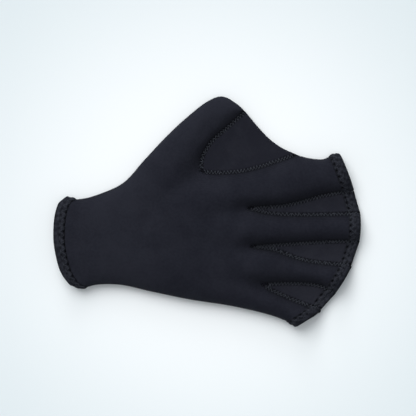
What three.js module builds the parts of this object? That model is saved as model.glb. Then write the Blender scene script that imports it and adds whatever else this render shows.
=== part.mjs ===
// A webbed swim glove of neoprene for the right hand, lying palm down.
// Millimetres. X runs from the cuff to the fingers, Y towards the thumb, Z up from the surface.
import * as THREE from "three";

// Driving sizes
const LENGTH = 214; // from the cuff's edge to the middle finger's open end
const WIDTH = 161; // from the little finger's outer corner to the thumb's tip
const PANEL_WALL = 2.5; // neoprene of the back and palm panels
const WEB_WALL = 2.2; // cloth of the webs
const WEB_SAG = 1.2; // how far the middle of a web hangs below its seams
const HEM_WALL = 3.3; // folded edge of a panel
const WEB_HEM_WALL = 3; // folded edge of a web
const FINGER_HEM = 8.6; // width of the folded bands at the finger ends
const CUFF_HEM = 8.4; // width of the folded band at the wrist
const CUFF_BOW = 11; // how far the cuff's edge bows out past its two corners
const SEAM_HEIGHT = 6.4; // of the side seams and webs above the surface
const BACK_RISE = 12.6; // the most that the back panel can rise above its seams
const WRIST_RISE = 10; // the same at the cuff, where the tube lies flatter
const BACK_FILL = 13; // distance from the seams in which the back panel rounds over
const PALM_PRESS = 1; // how far the palm would hang through the surface if that were soft
const PALM_FILL = 3.2; // distance from the seams in which the palm panel rounds under
const REST_BLEND = 0.5; // height over which the palm panel eases onto the surface
const GAP = 0.3; // clearance between neighbouring pieces
const HEM_GAP = 0.5; // the same along the hand, where a hem crosses it aslant

// Fineness of the meshes, in millimetres and counts
const SEAM_STEP = 5.2;
const TIP_CROWDING = 1.7; // power by which points along a seam draw together at a web's tip
const TIP_FAN = 4; // parts into which the turn round a web's tip is divided
const GRID_STEP = 7;
const SEAM_ROWS = [0, 0.6, 2.4, 5.2]; // distances from a seam at which rows of points run
const FIELD_STEP = 2.5;
const WEB_STEP = 7;
const WEB_TIP = 0.8; // width at which a web starts
const TIP_STEP = 0.005; // share of a web's length in which that width is sought
const FINGER_WEB_COLUMNS = 4;
const THUMB_WEB_COLUMNS = 8;
const HEM_STEPS = 2;
const CUFF_STEPS = 80; // parts into which the cuff's bow is divided to be looked up
const SLOPE_STEP = 0.05; // distance over which a panel's slope is taken
const SHORTEST_EDGE = 0.05; // seam edges below this length are left out
const ON_SEAM = 1e-6; // side distance below which a point counts as lying in line with a seam edge
const ROW_CLEARANCE = 0.9; // share of its own distance that a row keeps from every other seam
const FAR_FACTOR = 20; // how far out the corners of the first triangle lie, in sizes of the glove

// The seams seen from above, going round the glove with its inside on the left. along is a
// share of LENGTH from the cuff to the fingertips, across is a share of WIDTH from the little
// finger to the thumb.
const LITTLE_SIDE = [
  { along: 0.071, across: 0.172 },
  { along: 0.097, across: 0.169 },
  { along: 0.133, across: 0.182 },
  { along: 0.214, across: 0.183 },
  { along: 0.312, across: 0.155 },
  { along: 0.443, across: 0.119 },
  { along: 0.574, across: 0.092 },
  { along: 0.685, across: 0.059 },
  { along: 0.737, across: 0.037 },
  { along: 0.794, across: 0 },
];
const LITTLE_INNER = [
  { along: 0.872, across: 0.075 },
  { along: 0.811, across: 0.101 },
  { along: 0.727, across: 0.148 },
  { along: 0.678, across: 0.183 },
];
const RING_OUTER = [
  { along: 0.678, across: 0.183 },
  { along: 0.763, across: 0.188 },
  { along: 0.858, across: 0.179 },
  { along: 0.92, across: 0.145 },
];
const RING_INNER = [
  { along: 0.971, across: 0.267 },
  { along: 0.9, across: 0.274 },
  { along: 0.811, across: 0.291 },
  { along: 0.717, across: 0.334 },
  { along: 0.642, across: 0.348 },
];
const MIDDLE_OUTER = [
  { along: 0.642, across: 0.348 },
  { along: 0.721, across: 0.355 },
  { along: 0.884, across: 0.368 },
  { along: 0.998, across: 0.372 },
];
const MIDDLE_INNER = [
  { along: 1, across: 0.492 },
  { along: 0.802, across: 0.486 },
  { along: 0.704, across: 0.493 },
  { along: 0.632, across: 0.515 },
];
const INDEX_OUTER = [
  { along: 0.632, across: 0.515 },
  { along: 0.762, across: 0.529 },
  { along: 0.884, across: 0.571 },
  { along: 0.979, across: 0.59 },
];
const INDEX_SIDE = [
  { along: 0.934, across: 0.751 },
  { along: 0.904, across: 0.743 },
  { along: 0.881, across: 0.727 },
  { along: 0.848, across: 0.728 },
  { along: 0.815, across: 0.736 },
  { along: 0.789, across: 0.749 },
];
const INDEX_WEB = [
  { along: 0.789, across: 0.749 },
  { along: 0.737, across: 0.723 },
  { along: 0.629, across: 0.679 },
  { along: 0.548, across: 0.668 },
  { along: 0.479, across: 0.673 },
];
const THUMB_WEB = [
  { along: 0.479, across: 0.673 },
  { along: 0.484, across: 0.736 },
  { along: 0.512, across: 0.801 },
  { along: 0.557, across: 0.856 },
  { along: 0.624, across: 0.934 },
];
const THUMB_SIDE = [
  { along: 0.624, across: 0.934 },
  { along: 0.597, across: 0.966 },
  { along: 0.548, across: 1 },
  { along: 0.502, across: 0.979 },
  { along: 0.43, across: 0.905 },
  { along: 0.371, across: 0.832 },
  { along: 0.293, across: 0.722 },
  { along: 0.227, across: 0.626 },
  { along: 0.156, across: 0.58 },
  { along: 0.085, across: 0.554 },
  { along: 0.033, across: 0.562 },
];

// The free edge of the thumb's web, in the same shares, from the index finger to the thumb
const WEB_EDGE = [
  { along: 0.789, across: 0.749 },
  { along: 0.744, across: 0.777 },
  { along: 0.704, across: 0.815 },
  { along: 0.665, across: 0.869 },
  { along: 0.624, across: 0.934 },
];

// How the cuff's edge bows between its corners. across is a share of the way from the thumb's
// side to the little finger's side, bow is a share of CUFF_BOW.
const CUFF_EDGE = [
  { across: 0, bow: 0 },
  { across: 0.07, bow: 0.46 },
  { across: 0.27, bow: 0.84 },
  { across: 0.5, bow: 1 },
  { across: 0.75, bow: 0.9 },
  { across: 0.93, bow: 0.52 },
  { across: 1, bow: 0 },
];

// Shares of LENGTH between which the flatter wrist fills out into the palm
const WRIST_END = 0.1;
const PALM_START = 0.45;

// How far each seam's line is carried on past an open end, as a share of LENGTH
const SEAM_RUNOUT = 0.3;

const neoprene = new THREE.MeshStandardMaterial({ color: 0x22242a, roughness: 0.85, metalness: 0 });
const webCloth = new THREE.MeshStandardMaterial({ color: 0x1f2128, roughness: 0.8, metalness: 0 });
const hemCloth = new THREE.MeshStandardMaterial({ color: 0x25272e, roughness: 0.85, metalness: 0 });

// Plan curves
function planCurve(table) {
  const points = table.map(
    (row) => new THREE.Vector3(row.along * LENGTH, row.across * WIDTH, 0),
  );
  return new THREE.CatmullRomCurve3(points, false, "centripetal");
}

const littleSide = planCurve(LITTLE_SIDE);
const littleInner = planCurve(LITTLE_INNER);
const ringOuter = planCurve(RING_OUTER);
const ringInner = planCurve(RING_INNER);
const middleOuter = planCurve(MIDDLE_OUTER);
const middleInner = planCurve(MIDDLE_INNER);
const indexOuter = planCurve(INDEX_OUTER);
const indexSide = planCurve(INDEX_SIDE);
const indexWeb = planCurve(INDEX_WEB);
const thumbWeb = planCurve(THUMB_WEB);
const thumbSide = planCurve(THUMB_SIDE);
const webEdge = planCurve(WEB_EDGE);

// Open ends: each lies between the end of one seam and the start of the next
const littleEnd = { from: littleSide, to: littleInner, hem: FINGER_HEM, bow: 0 };
const ringEnd = { from: ringOuter, to: ringInner, hem: FINGER_HEM, bow: 0 };
const middleEnd = { from: middleOuter, to: middleInner, hem: FINGER_HEM, bow: 0 };
const indexEnd = { from: indexOuter, to: indexSide, hem: FINGER_HEM, bow: 0 };
const cuffEnd = { from: thumbSide, to: littleSide, hem: CUFF_HEM, bow: CUFF_BOW };

// Unbroken runs of seam, each from one open end to the next
const SEAM_RUNS = [
  { seams: [littleSide], before: cuffEnd, after: littleEnd },
  { seams: [littleInner, ringOuter], before: littleEnd, after: ringEnd },
  { seams: [ringInner, middleOuter], before: ringEnd, after: middleEnd },
  { seams: [middleInner, indexOuter], before: middleEnd, after: indexEnd },
  { seams: [indexSide, indexWeb, thumbWeb, thumbSide], before: indexEnd, after: cuffEnd },
];

// Share of CUFF_BOW at a share of the way across the cuff
const cuffCurve = new THREE.CatmullRomCurve3(
  CUFF_EDGE.map((row) => new THREE.Vector3(row.across, row.bow, 0)),
  false,
  "centripetal",
);
const cuffPoints = cuffCurve.getPoints(CUFF_STEPS);
function cuffBow(share) {
  const next = Math.max(1, cuffPoints.findIndex((point) => point.x >= share));
  const low = cuffPoints[next - 1];
  const high = cuffPoints[next];
  return THREE.MathUtils.mapLinear(share, low.x, high.x, low.y, high.y);
}

const upright = new THREE.Vector3(0, 0, 1);

// Left and right of a direction in the plan
const leftOf = (direction) => new THREE.Vector3(-direction.y, direction.x, 0).normalize();
const rightOf = (direction) => leftOf(direction).negate();

// Points and tangents of a curve, a distance from its last or its first point
const lastPoint = (curve, distance) => curve.getPointAt(1 - distance / curve.getLength());
const firstPoint = (curve, distance) => curve.getPointAt(distance / curve.getLength());
const lastTangent = (curve, distance) => curve.getTangentAt(1 - distance / curve.getLength());
const firstTangent = (curve, distance) => curve.getTangentAt(distance / curve.getLength());

// Fullness: how much room a point has between the seams round it, as the harmonic mean of the
// distances to them over all directions. It is the distance itself close to one seam, half of
// that to the middle of a long channel, and doesn't change along a channel of one width.
const fieldEdges = SEAM_RUNS.flatMap(({ seams }) => {
  const line = seams.flatMap((seam) =>
    seam.getSpacedPoints(Math.ceil(seam.getLength() / FIELD_STEP)),
  );
  const first = seams[0];
  const last = seams.at(-1);
  const runout = SEAM_RUNOUT * LENGTH;
  line.unshift(first.getPointAt(0).addScaledVector(first.getTangentAt(0), -runout));
  line.push(last.getPointAt(1).addScaledVector(last.getTangentAt(1), runout));
  const edges = line.slice(1).map((end, i) => ({ start: line[i], end }));
  return edges.filter(({ start, end }) => start.distanceTo(end) > SHORTEST_EDGE);
});

function fullness(x, y) {
  let sum = 0;
  for (const { start, end } of fieldEdges) {
    const length = Math.hypot(end.x - start.x, end.y - start.y);
    const alongX = (end.x - start.x) / length;
    const alongY = (end.y - start.y) / length;
    const side = alongX * (y - start.y) - alongY * (x - start.x);
    if (Math.abs(side) < ON_SEAM) continue;
    const before = (start.x - x) * alongX + (start.y - y) * alongY;
    const after = before + length;
    sum += (after / Math.hypot(after, side) - before / Math.hypot(before, side)) / side;
  }
  return 2 / sum;
}

// Height of the outside of the back panel (side 1) or the palm panel (side -1)
function heightOf(side, x, y) {
  const room = Math.max(fullness(x, y), 0);
  if (side > 0) {
    const palm = THREE.MathUtils.smoothstep(x, WRIST_END * LENGTH, PALM_START * LENGTH);
    const rise = THREE.MathUtils.lerp(WRIST_RISE, BACK_RISE, palm);
    return SEAM_HEIGHT + GAP / 2 + rise * Math.sqrt(1 - Math.exp(-room / BACK_FILL));
  }
  const drop = (SEAM_HEIGHT + PALM_PRESS) * Math.sqrt(1 - Math.exp(-room / PALM_FILL));
  const height = SEAM_HEIGHT - GAP / 2 - drop;
  if (height >= REST_BLEND) return height;
  return Math.max(height + REST_BLEND, 0) ** 2 / (4 * REST_BLEND);
}

// A point of a panel's outside, away from the seams, with its outward normal
function skinPoint(side, { x, y }) {
  const slopeX = heightOf(side, x + SLOPE_STEP, y) - heightOf(side, x - SLOPE_STEP, y);
  const slopeY = heightOf(side, x, y + SLOPE_STEP) - heightOf(side, x, y - SLOPE_STEP);
  const normal = new THREE.Vector3(-slopeX, -slopeY, 2 * SLOPE_STEP);
  return {
    outer: new THREE.Vector3(x, y, heightOf(side, x, y)),
    normal: normal.normalize().multiplyScalar(side),
  };
}

// A point of a panel's or hem's outside on a seam, where the cloth stands upright
const seamPoint = (point, outward, height) => ({
  outer: point.clone().setZ(height),
  normal: outward,
});

// The inside of a wall at a point, which at an open end stays on the end's cut
function insideOf({ outer, normal, onCut }, wall) {
  const inner = outer.clone().addScaledVector(normal, -wall);
  return onCut ? onCut(inner) : inner;
}

// Distances from one seam to the other at which an open end of some width is divided
function stepsAcross(width) {
  const last = SEAM_ROWS.at(-1);
  const count = Math.max(2, Math.round((width - 2 * last) / GRID_STEP));
  const middle = [];
  for (let i = 1; i < count; i += 1) {
    middle.push(THREE.MathUtils.lerp(last, width - last, i / count));
  }
  const mirrored = SEAM_ROWS.map((row) => width - row).reverse();
  return [...SEAM_ROWS, ...middle, ...mirrored];
}

// The line across an open end, a distance in from its edge. Its points know how to bring others
// onto the same cut, and the two outermost, on the seams, know the way out of the glove.
function lineAcross(end, distance) {
  const start = lastPoint(end.from, distance);
  const finish = firstPoint(end.to, distance);
  const chord = finish.clone().sub(start);
  const hemWidth = lastPoint(end.from, end.hem).distanceTo(firstPoint(end.to, end.hem));
  const beyond = rightOf(chord);
  const onCut = (point) => {
    const offset = point.clone().sub(start);
    const share = THREE.MathUtils.clamp(offset.dot(chord) / chord.lengthSq(), 0, 1);
    return point.addScaledVector(beyond, end.bow * cuffBow(share) - offset.dot(beyond));
  };
  const line = stepsAcross(hemWidth).map((step) => {
    const point = onCut(start.clone().addScaledVector(chord, step / hemWidth));
    return { point, onCut };
  });
  line[0].outward = rightOf(lastTangent(end.from, distance));
  line.at(-1).outward = rightOf(firstTangent(end.to, distance));
  return line;
}

// Directions into the glove, fanned round a corner between two seams that turns to the right
function tipFan(before, after) {
  const turn = before.angleTo(after);
  if (before.x * after.y > before.y * after.x) return [];
  const fan = [];
  for (let i = 0; i <= TIP_FAN; i += 1) {
    fan.push(leftOf(before).applyAxisAngle(upright, (-turn * i) / TIP_FAN));
  }
  return fan;
}

// The rim of a panel, anticlockwise. Points on a seam know the way out of the glove, the ways in
// from there and the rows of points that run there.
function panelRim() {
  const rim = [];
  for (const { seams, before, after } of SEAM_RUNS) {
    seams.forEach((seam, i) => {
      const isFirst = i === 0;
      const isLast = i === seams.length - 1;
      const start = isFirst ? (before.hem + HEM_GAP) / seam.getLength() : 0;
      const finish = isLast ? 1 - (after.hem + HEM_GAP) / seam.getLength() : 1;
      const count = Math.ceil(((finish - start) * seam.getLength()) / SEAM_STEP);
      for (let step = isFirst ? 1 : 0; step < count; step += 1) {
        let share = step / count;
        if (!isFirst) share **= TIP_CROWDING;
        if (!isLast) share = 1 - (1 - share) ** TIP_CROWDING;
        share = THREE.MathUtils.lerp(start, finish, share);
        const tangent = seam.getTangentAt(share);
        const outward = rightOf(tangent);
        let inward = [leftOf(tangent)];
        let rows = SEAM_ROWS.slice(1);
        if (step === 0) {
          const tangentBefore = seams[i - 1].getTangentAt(1);
          outward.add(rightOf(tangentBefore)).normalize();
          inward = tipFan(tangentBefore, tangent);
          rows = SEAM_ROWS.slice(2);
        }
        rim.push({ point: seam.getPointAt(share), outward, inward, rows });
      }
    });
    rim.push(...lineAcross(after, after.hem + HEM_GAP));
  }
  return rim;
}

// Plan distance from a point to the nearest edge of the rim
function distanceToRim(point, rim) {
  const edge = new THREE.Line3();
  const nearest = new THREE.Vector3();
  const distances = rim.map((corner, i) => {
    edge.set(corner.point, rim[(i + 1) % rim.length].point);
    return edge.closestPointToPoint(point, true, nearest).distanceTo(point);
  });
  return Math.min(...distances);
}

function insideRim({ x, y }, rim) {
  let inside = false;
  rim.forEach(({ point: a }, i) => {
    const { point: b } = rim[(i + 1) % rim.length];
    if (a.y > y !== b.y > y && x < a.x + ((y - a.y) * (b.x - a.x)) / (b.y - a.y)) inside = !inside;
  });
  return inside;
}

// Delaunay triangles of plan points, each point being added in turn
function triangulate(points) {
  const far = FAR_FACTOR * (LENGTH + WIDTH);
  const corners = [
    ...points,
    new THREE.Vector3(-far, -far, 0),
    new THREE.Vector3(far, -far, 0),
    new THREE.Vector3(0, far, 0),
  ];
  const withCircle = (a, b, c) => {
    const ab = corners[b].clone().sub(corners[a]);
    const ac = corners[c].clone().sub(corners[a]);
    const twice = 2 * (ab.x * ac.y - ab.y * ac.x);
    const centreX = (ac.y * ab.lengthSq() - ab.y * ac.lengthSq()) / twice;
    const centreY = (ab.x * ac.lengthSq() - ac.x * ab.lengthSq()) / twice;
    const centre = corners[a].clone().add(new THREE.Vector3(centreX, centreY, 0));
    return { corners: [a, b, c], centre, radiusSquared: centreX ** 2 + centreY ** 2 };
  };
  const count = points.length;
  let triangles = [withCircle(count, count + 1, count + 2)];
  points.forEach((point, added) => {
    const edges = new Map();
    triangles = triangles.filter((triangle) => {
      if (point.distanceToSquared(triangle.centre) > triangle.radiusSquared) return true;
      triangle.corners.forEach((a, i) => {
        const b = triangle.corners[(i + 1) % 3];
        if (edges.has(`${b} ${a}`)) edges.delete(`${b} ${a}`);
        else edges.set(`${a} ${b}`, [a, b]);
      });
      return false;
    });
    for (const [a, b] of edges.values()) triangles.push(withCircle(a, b, added));
  });
  return triangles.map((triangle) => triangle.corners).filter((all) => Math.max(...all) < count);
}

// Points and triangles that fill a panel's rim
function panelPlan() {
  const rim = panelRim();
  const inner = [];
  for (const { point, inward = [], rows } of rim) {
    for (const way of inward) {
      for (const row of rows) {
        const candidate = point.clone().addScaledVector(way, row);
        if (distanceToRim(candidate, rim) > ROW_CLEARANCE * row) inner.push(candidate);
      }
    }
  }
  const clear = SEAM_ROWS.at(-1) + GRID_STEP / 2;
  const rowStep = (GRID_STEP * Math.sqrt(3)) / 2;
  for (let row = 0; row * rowStep < WIDTH; row += 1) {
    for (let x = (row % 2) * (GRID_STEP / 2); x < LENGTH; x += GRID_STEP) {
      const candidate = new THREE.Vector3(x, row * rowStep, 0);
      if (!insideRim(candidate, rim)) continue;
      if (distanceToRim(candidate, rim) > clear) inner.push(candidate);
    }
  }
  const points = [...rim.map((corner) => corner.point), ...inner];
  const triangles = triangulate(points).filter((corners) => {
    const centre = new THREE.Vector3();
    for (const corner of corners) centre.addScaledVector(points[corner], 1 / 3);
    return insideRim(centre, rim);
  });
  return { rim, inner, triangles };
}

function geometryOf(points, triangles) {
  const geometry = new THREE.BufferGeometry().setFromPoints(points);
  geometry.setIndex(triangles.flat());
  geometry.computeVertexNormals();
  return geometry;
}

// Two triangles for the face a, b, c, d
const quad = (a, b, c, d) => [
  [a, b, c],
  [a, c, d],
];

// The back panel (side 1) or the palm panel (side -1): an outer and an inner skin over the
// plan, closed along the rim
function panel(side, { rim, inner, triangles }) {
  const seamHeight = SEAM_HEIGHT + (side * GAP) / 2;
  const skins = [
    ...rim.map(({ point, outward, onCut }) => ({
      ...(outward ? seamPoint(point, outward, seamHeight) : skinPoint(side, point)),
      onCut,
    })),
    ...inner.map((point) => skinPoint(side, point)),
  ];
  const count = skins.length;
  const faces = [
    ...triangles,
    ...triangles.map(([a, b, c]) => [count + a, count + c, count + b]),
    ...rim.flatMap((corner, i) => {
      const next = (i + 1) % rim.length;
      return quad(next, i, count + i, count + next);
    }),
  ];
  const points = [
    ...skins.map((skin) => skin.outer),
    ...skins.map((skin) => insideOf(skin, PANEL_WALL)),
  ];
  return geometryOf(points, side > 0 ? faces : faces.map(([a, b, c]) => [a, c, b]));
}

// The folded band round an open end: loops of outer and inner points, joined into a ring
function hemRing(end) {
  const lines = [];
  for (let step = 0; step <= HEM_STEPS; step += 1) {
    lines.push(lineAcross(end, end.hem * (1 - step / HEM_STEPS)));
  }
  const loops = lines.map((line) => {
    const upper = line.map(({ point, outward, onCut }) => ({
      ...(outward ? seamPoint(point, outward, SEAM_HEIGHT) : skinPoint(1, point)),
      onCut,
    }));
    const inBetween = line.slice(1, -1);
    const lower = inBetween.map(({ point, onCut }) => ({ ...skinPoint(-1, point), onCut }));
    return [...upper, ...lower.reverse()];
  });
  const across = lines[0].length - 1;
  const around = loops[0].length;
  const outer = loops.flat().map((skin) => skin.outer);
  const inside = loops.flat().map((skin) => insideOf(skin, HEM_WALL));
  const faces = [];
  const count = outer.length;
  for (let i = 0; i < around; i += 1) {
    const next = (i + 1) % around;
    for (let step = 0; step < HEM_STEPS; step += 1) {
      const low = step * around;
      const high = low + around;
      faces.push(...quad(low + i, high + i, high + next, low + next));
      const inner = quad(low + i, low + next, high + next, high + i);
      faces.push(...inner.map((corners) => corners.map((corner) => count + corner)));
    }
    const edge = HEM_STEPS * around;
    // The end that faces the panels is creased the same way as their rims
    if (i < across) faces.push(...quad(next, count + next, count + i, i));
    else faces.push(...quad(i, next, count + next, count + i));
    faces.push(...quad(edge + i, count + edge + i, count + edge + next, edge + next));
  }
  return geometryOf([...outer, ...inside], faces);
}

// A sheet of even thickness over a grid of points, row by row
function sheet(rows, wall) {
  const columns = rows[0].length;
  const middle = rows.flat();
  const count = middle.length;
  const up = new THREE.Vector3(0, 0, wall / 2);
  const points = [
    ...middle.map((point) => point.clone().add(up)),
    ...middle.map((point) => point.clone().sub(up)),
  ];
  const faces = [];
  for (let r = 0; r < rows.length - 1; r += 1) {
    for (let c = 0; c < columns - 1; c += 1) {
      const corner = r * columns + c;
      const above = corner + columns;
      faces.push(...quad(corner, above, above + 1, corner + 1));
      faces.push(...quad(count + corner, count + corner + 1, count + above + 1, count + above));
    }
  }
  const rim = [];
  const lastRow = (rows.length - 1) * columns;
  for (let c = 0; c < columns - 1; c += 1) rim.push(c);
  for (let r = 0; r < rows.length - 1; r += 1) rim.push((r + 1) * columns - 1);
  for (let c = columns - 1; c > 0; c -= 1) rim.push(lastRow + c);
  for (let r = rows.length - 1; r > 0; r -= 1) rim.push(r * columns);
  rim.forEach((corner, i) => {
    const next = rim[(i + 1) % rim.length];
    faces.push(...quad(corner, next, count + next, count + corner));
  });
  return geometryOf(points, faces);
}

// A point of a web's edge, clear of the seam that it is sewn to
const besideSeam = (seam, share) =>
  seam.getPointAt(share).addScaledVector(rightOf(seam.getTangentAt(share)), GAP);

// One row of a web from seam to seam, which hangs lower in its middle
function webRow(start, finish, columns, sag) {
  const row = [];
  for (let c = 0; c <= columns; c += 1) {
    const share = c / columns;
    const point = start.clone().lerp(finish, share);
    point.z = SEAM_HEIGHT - 4 * sag * share * (1 - share);
    row.push(point);
  }
  return row;
}

// A web from its tip to a line some way in from its outer end. The first seam runs to the tip,
// the second from it. A free edge, where there is one, draws the last rows in to itself.
function webSheet(first, second, { cut, columns, edge }) {
  const firstShare = (share) => 1 - share * (1 - cut / first.getLength());
  const secondShare = (share) => share * (1 - cut / second.getLength());
  const rowEnds = (share) => [
    besideSeam(first, firstShare(share)),
    besideSeam(second, secondShare(share)),
  ];
  const rowWidth = (share) => rowEnds(share)[0].distanceTo(rowEnds(share)[1]);
  let tip = 0;
  while (rowWidth(tip) < WEB_TIP) tip += TIP_STEP;
  const count = Math.round(second.getLength() / WEB_STEP);
  const rows = [];
  for (let i = 0; i <= count; i += 1) {
    const share = THREE.MathUtils.lerp(tip, 1, i / count);
    const row = webRow(...rowEnds(share), columns, WEB_SAG * share);
    if (edge) {
      row.forEach((point, c) => {
        const straight = edge.getPointAt(0).lerp(edge.getPointAt(1), c / columns);
        const drawn = edge.getPointAt(c / columns).sub(straight);
        point.addScaledVector(drawn, share ** 2);
      });
    }
    rows.push(row);
  }
  return sheet(rows, WEB_WALL);
}

// The folded outer end of a finger web
function webHem(first, second, columns) {
  const rows = [];
  for (let step = 0; step <= HEM_STEPS; step += 1) {
    const distance = FINGER_HEM * (1 - step / HEM_STEPS);
    const start = besideSeam(first, distance / first.getLength());
    const finish = besideSeam(second, 1 - distance / second.getLength());
    rows.push(webRow(start, finish, columns, WEB_SAG));
  }
  return sheet(rows, WEB_HEM_WALL);
}

// Assembly, with the origin at the middle of the glove's underside
const glove = new THREE.Group();

function addPiece(name, geometry, material) {
  const mesh = new THREE.Mesh(geometry, material);
  mesh.name = name;
  glove.add(mesh);
}

const plan = panelPlan();
addPiece("back_panel", panel(1, plan), neoprene);
addPiece("palm_panel", panel(-1, plan), neoprene);

addPiece("cuff_hem", hemRing(cuffEnd), hemCloth);
addPiece("index_hem", hemRing(indexEnd), hemCloth);
addPiece("middle_hem", hemRing(middleEnd), hemCloth);
addPiece("ring_hem", hemRing(ringEnd), hemCloth);
addPiece("little_hem", hemRing(littleEnd), hemCloth);

const thumbWebShape = { cut: 0, columns: THUMB_WEB_COLUMNS, edge: webEdge };
addPiece("thumb_web", webSheet(indexWeb, thumbWeb, thumbWebShape), webCloth);

const FINGER_WEBS = [
  { name: "index_middle", first: middleInner, second: indexOuter },
  { name: "middle_ring", first: ringInner, second: middleOuter },
  { name: "ring_little", first: littleInner, second: ringOuter },
];
for (const { name, first, second } of FINGER_WEBS) {
  const fingerWebShape = { cut: FINGER_HEM + HEM_GAP, columns: FINGER_WEB_COLUMNS };
  addPiece(`web_${name}`, webSheet(first, second, fingerWebShape), webCloth);
  addPiece(`web_hem_${name}`, webHem(first, second, FINGER_WEB_COLUMNS), hemCloth);
}

const bounds = new THREE.Box3().setFromObject(glove);
const middle = bounds.getCenter(new THREE.Vector3());
glove.position.set(-middle.x, -middle.y, -bounds.min.z);

export default new THREE.Group().add(glove);
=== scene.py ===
"""A webbed swim glove of neoprene for the right hand, lying palm down on a pale table.

The cloth is shaped in millimetres, with X from the cuff to the fingers, Y towards the thumb and Z
up from the table, and becomes metres when a mesh is made.
"""
import math

import bpy
import numpy as np
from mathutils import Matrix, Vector, noise
from mathutils.bvhtree import BVHTree
from mathutils.geometry import delaunay_2d_cdt


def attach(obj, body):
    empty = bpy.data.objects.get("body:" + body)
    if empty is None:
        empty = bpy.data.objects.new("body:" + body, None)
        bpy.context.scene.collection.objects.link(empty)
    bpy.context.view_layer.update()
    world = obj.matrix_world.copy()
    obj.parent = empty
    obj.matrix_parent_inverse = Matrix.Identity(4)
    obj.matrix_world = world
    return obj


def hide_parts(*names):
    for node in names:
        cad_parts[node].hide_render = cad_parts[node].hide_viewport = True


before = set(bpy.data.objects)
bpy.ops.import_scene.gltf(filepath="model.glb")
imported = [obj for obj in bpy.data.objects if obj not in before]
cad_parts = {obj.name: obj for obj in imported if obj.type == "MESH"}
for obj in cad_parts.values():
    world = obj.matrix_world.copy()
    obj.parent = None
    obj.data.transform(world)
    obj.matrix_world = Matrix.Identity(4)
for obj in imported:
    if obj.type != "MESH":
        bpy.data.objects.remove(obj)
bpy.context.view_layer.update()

MM = 0.001  # a millimetre in metres

# Driving sizes, in millimetres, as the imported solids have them
LENGTH = 214
WIDTH = 161
PANEL_WALL = 2.5
WEB_WALL = 2.2
WEB_SAG = 1.2
HEM_WALL = 3.3
WEB_HEM_WALL = 3
FINGER_HEM = 8.6
CUFF_HEM = 8.4
CUFF_BOW = 11
SEAM_HEIGHT = 6.4  # of the seams over the table
BACK_RISE = 12.6  # of the back over the seams, on the palm and the fingers
WRIST_RISE = 10
BACK_FILL = 13  # room over which the back rounds up
PALM_PRESS = 1  # how far the palm would reach below the table if it weren't pressed flat
PALM_FILL = 3.2
REST_BLEND = 0.5  # half the height over which the palm bends into its flat rest
WRIST_END = 0.1  # share of the length where the wrist's height ends, and where the palm's starts
PALM_START = 0.45
SEAM_RUNOUT = 0.3  # share of the length by which a seam is thought on past its open end

# The seams seen from above, going round the glove with its inside on the left. A point is
# (along, across): shares of LENGTH from the cuff and of WIDTH from the little finger.
LITTLE_SIDE = [
    (0.071, 0.172), (0.097, 0.169), (0.133, 0.182), (0.214, 0.183), (0.312, 0.155),
    (0.443, 0.119), (0.574, 0.092), (0.685, 0.059), (0.737, 0.037), (0.794, 0),
]
LITTLE_INNER = [(0.872, 0.075), (0.811, 0.101), (0.727, 0.148), (0.678, 0.183)]
RING_OUTER = [(0.678, 0.183), (0.763, 0.188), (0.858, 0.179), (0.92, 0.145)]
RING_INNER = [(0.971, 0.267), (0.9, 0.274), (0.811, 0.291), (0.717, 0.334), (0.642, 0.348)]
MIDDLE_OUTER = [(0.642, 0.348), (0.721, 0.355), (0.884, 0.368), (0.998, 0.372)]
MIDDLE_INNER = [(1, 0.492), (0.802, 0.486), (0.704, 0.493), (0.632, 0.515)]
INDEX_OUTER = [(0.632, 0.515), (0.762, 0.529), (0.884, 0.571), (0.979, 0.59)]
INDEX_SIDE = [
    (0.934, 0.751), (0.904, 0.743), (0.881, 0.727), (0.848, 0.728), (0.815, 0.736), (0.789, 0.749),
]
INDEX_WEB = [(0.789, 0.749), (0.737, 0.723), (0.629, 0.679), (0.548, 0.668), (0.479, 0.673)]
THUMB_WEB = [(0.479, 0.673), (0.484, 0.736), (0.512, 0.801), (0.557, 0.856), (0.624, 0.934)]
THUMB_SIDE = [
    (0.624, 0.934), (0.597, 0.966), (0.548, 1), (0.502, 0.979), (0.43, 0.905), (0.371, 0.832),
    (0.293, 0.722), (0.227, 0.626), (0.156, 0.58), (0.085, 0.554), (0.033, 0.562),
]
WEB_EDGE = [(0.789, 0.749), (0.744, 0.777), (0.704, 0.815), (0.665, 0.869), (0.624, 0.934)]

# The cuff's edge between its corners, from the thumb's side: (share across, share of CUFF_BOW)
CUFF_EDGE = [(0, 0), (0.07, 0.46), (0.27, 0.84), (0.5, 1), (0.75, 0.9), (0.93, 0.52), (1, 0)]


# Lines in the plan

def unit(vectors):
    """Vectors made one unit long, row by row."""
    length = np.linalg.norm(vectors, axis=-1, keepdims=True)
    return vectors / np.maximum(length, 1e-12)


def smooth(value, low, high):
    """0 below low, 1 above high and an easy slope between."""
    share = np.clip((value - low) / (high - low), 0, 1)
    return share * share * (3 - 2 * share)


def bell(value, width):
    """1 at zero, falling off on both sides over about this width."""
    return np.exp(-((value / width) ** 2))


def left_of(direction):
    return np.stack([-direction[..., 1], direction[..., 0]], axis=-1)


def right_of(direction):
    return -left_of(direction)


def turned(way, angle):
    """A way in the plan, turned by an angle."""
    return way * math.cos(angle) + left_of(way) * math.sin(angle)


def spot(place):
    """Places given as shares of the sizes, in millimetres."""
    return (np.array(place, float) - 0.5) * (LENGTH, WIDTH)


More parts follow.
